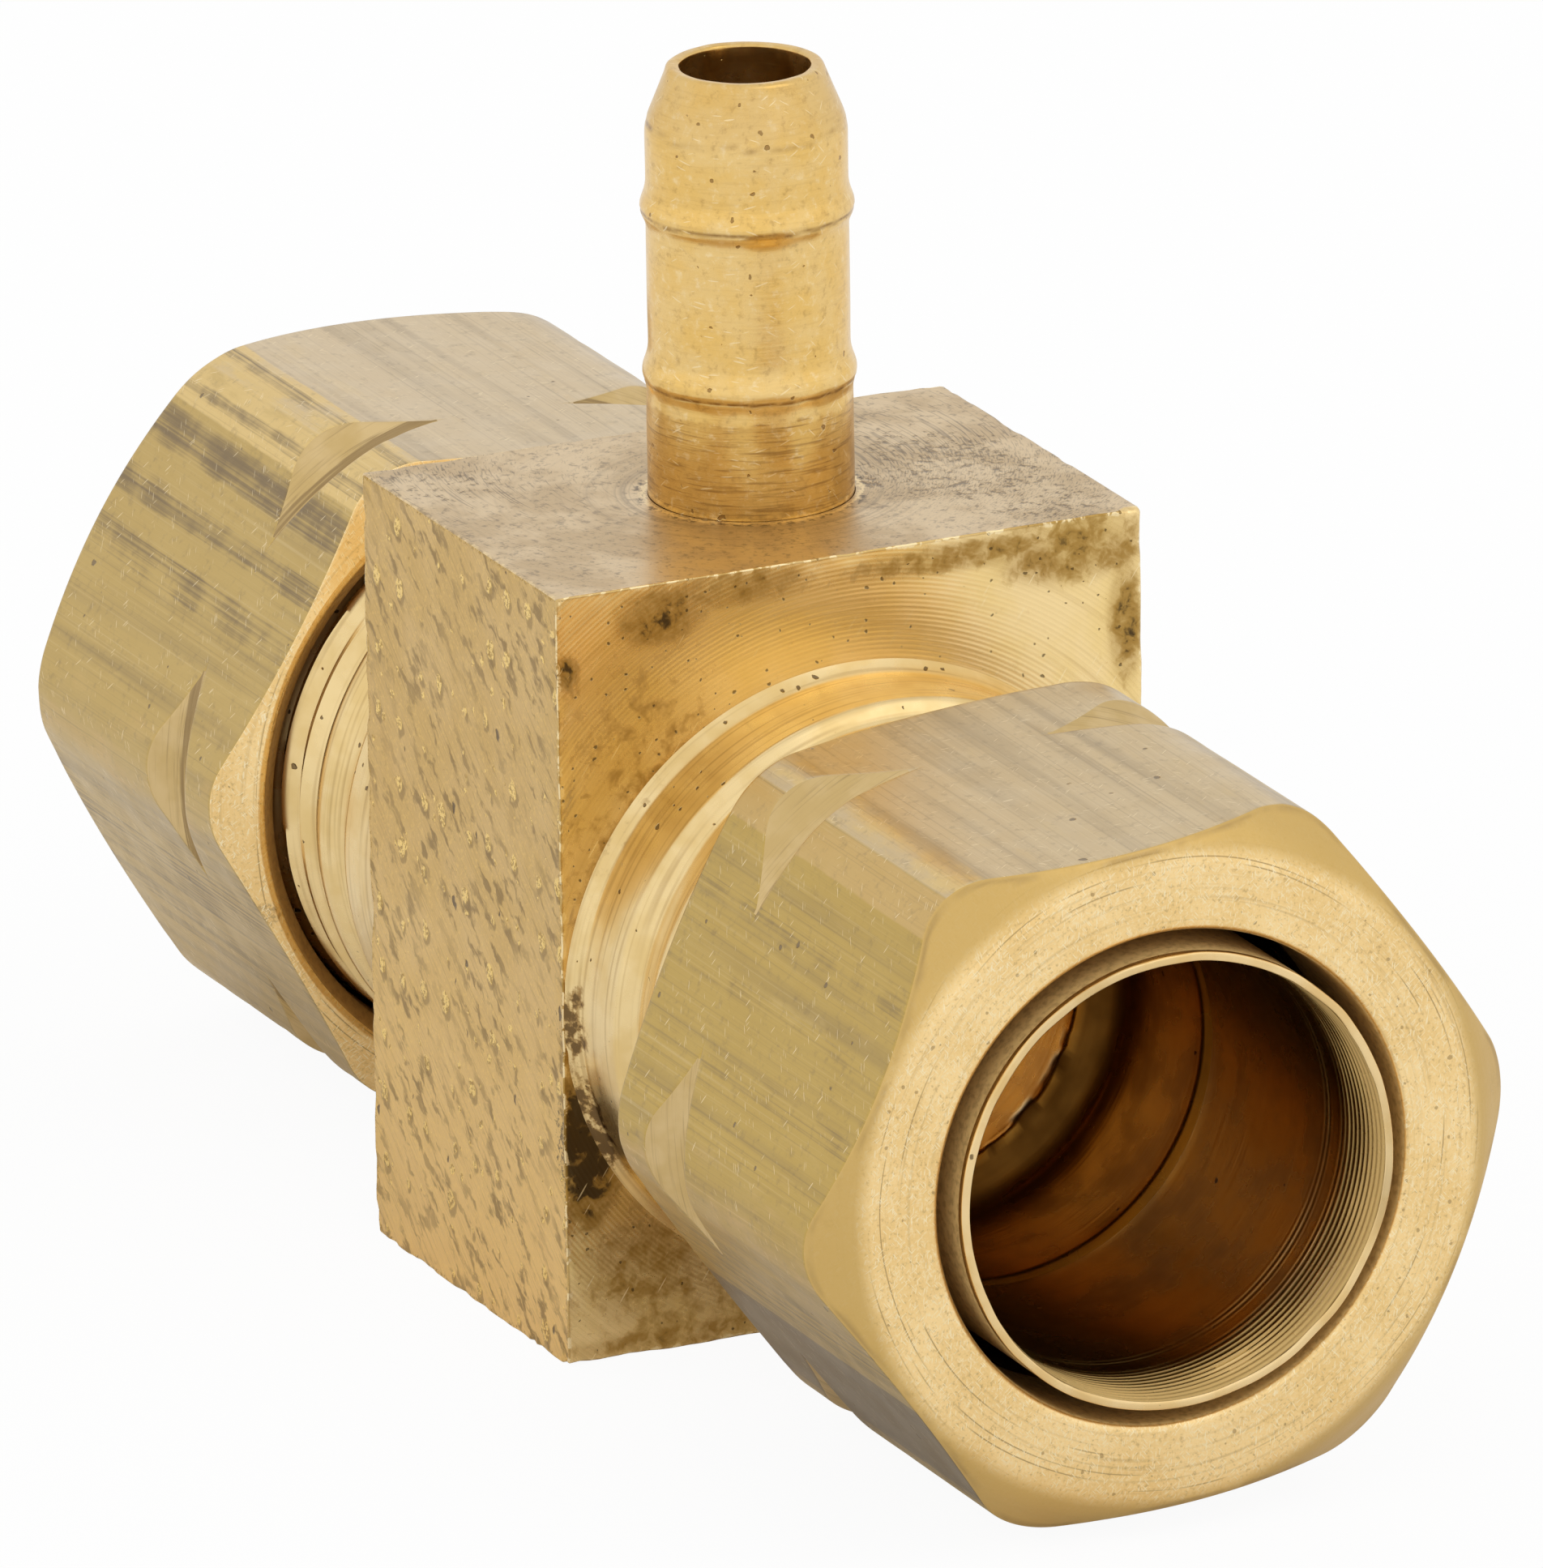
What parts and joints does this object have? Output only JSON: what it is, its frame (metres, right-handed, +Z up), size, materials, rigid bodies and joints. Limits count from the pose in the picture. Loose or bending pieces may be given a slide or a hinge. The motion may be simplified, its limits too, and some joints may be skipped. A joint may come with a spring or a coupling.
{
  "type": "compression tee with hose barb branch",
  "caption": "Brass tee for pipework: a square block with a union nut and compression sleeve at each end of its run, and a small barbed hose stem on top.",
  "frame": {"origin": "centre of the flat underside of the block, below the crossing of the run axis and the branch axis", "axes": "+X along the run towards the front nut, +Z up along the barbed branch, +Y across the block"},
  "size_m": [0.0559, 0.0216, 0.0356],
  "materials": {
    "block_brass": "sawn and turned bare brass, tarnished on top",
    "stem_brass": "bright turned bare brass",
    "nut_brass": "drawn bare brass, turned on the ends, lightly tarnished",
    "sleeve_brass": "fine turned bare brass"
  },
  "bodies": {
    "tee": {"tee_body": "block_brass", "hose_barb": "stem_brass"},
    "front_sleeve": {"front_sleeve": "sleeve_brass"},
    "front_nut": {"front_nut": "nut_brass"},
    "rear_sleeve": {"rear_sleeve": "sleeve_brass"},
    "rear_nut": {"rear_nut": "nut_brass"}
  },
  "joints": [
    {"name": "front_sleeve_slide", "type": "slide", "parent": "tee", "child": "front_sleeve", "axis": [1, 0, 0], "range_m": [0, 0.00435]},
    {"name": "front_nut_turn", "type": "hinge", "parent": "front_sleeve", "child": "front_nut", "pos_m": [0.02, 0, 0.01055], "axis": [1, 0, 0], "range_deg": [0, 1230]},
    {"name": "rear_sleeve_slide", "type": "slide", "parent": "tee", "child": "rear_sleeve", "axis": [-1, 0, 0], "range_m": [-0.00045, 0.0039]},
    {"name": "rear_nut_turn", "type": "hinge", "parent": "rear_sleeve", "child": "rear_nut", "pos_m": [-0.021, 0, 0.01055], "axis": [-1, 0, 0], "range_deg": [-127, 1103]}
  ],
  "couplings": [
    {"joint": "front_sleeve_slide", "follows": "front_nut_turn", "m_per_rad": 0.00020213},
    {"joint": "rear_sleeve_slide", "follows": "rear_nut_turn", "m_per_rad": 0.00020213}
  ]
}
